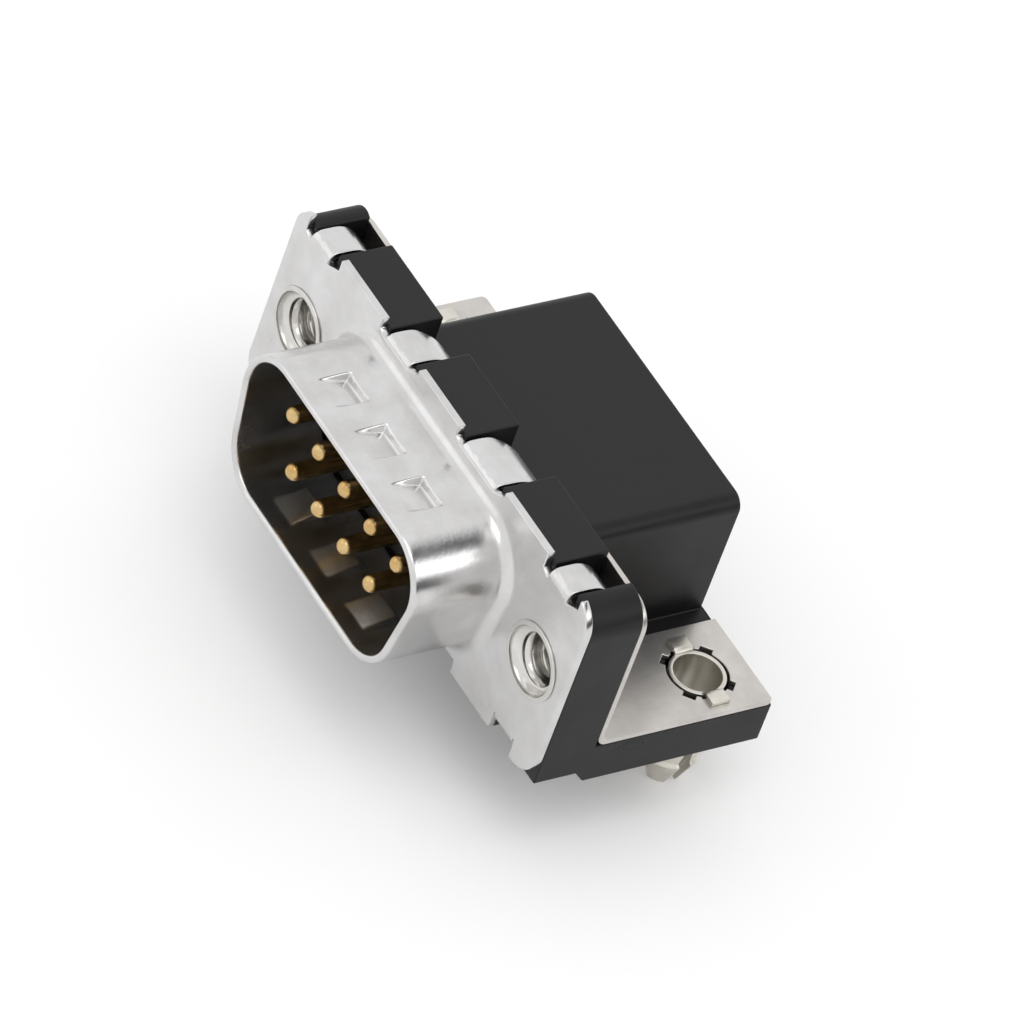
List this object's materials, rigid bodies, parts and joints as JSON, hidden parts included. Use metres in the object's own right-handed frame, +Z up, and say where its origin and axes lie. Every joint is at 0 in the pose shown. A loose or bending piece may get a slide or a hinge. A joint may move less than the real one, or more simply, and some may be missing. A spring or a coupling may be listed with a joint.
{
  "type": "d-sub connector",
  "caption": "Right-angle board-mount D-sub plug with a tinned D-shaped shell, gilt pins, a black hood, ground straps and snap-in boardlocks.",
  "frame": {"origin": "on the front face of the shell flange, midway between the two threaded inserts", "axes": "+X to the right for someone facing the pins, +Y back from the mating face, +Z up from the board"},
  "size_m": [0.0308, 0.0207, 0.0178],
  "materials": {
    "shell_tin": "satin tin plate on drawn steel sheet",
    "strap_tin": "satin tin plate on bent steel sheet, slightly greyer than the shell",
    "lock_tin": "bright tin plate on rolled sheet",
    "insert_tin": "tin plate on turned steel",
    "contact_gold": "gold plate on turned brass",
    "housing_plastic": "satin moulded black glass-filled thermoplastic"
  },
  "bodies": {
    "root": {"front_shell": "shell_tin", "housing": "housing_plastic", "contact_1": "contact_gold", "contact_2": "contact_gold", "contact_3": "contact_gold", "contact_4": "contact_gold", "contact_5": "contact_gold", "contact_6": "contact_gold", "contact_7": "contact_gold", "contact_8": "contact_gold", "contact_9": "contact_gold", "ground_strap_left": "strap_tin", "ground_strap_right": "strap_tin", "boardlock_left": "lock_tin", "boardlock_right": "lock_tin", "threaded_insert_left": "insert_tin", "threaded_insert_right": "insert_tin"}
  },
  "joints": []
}
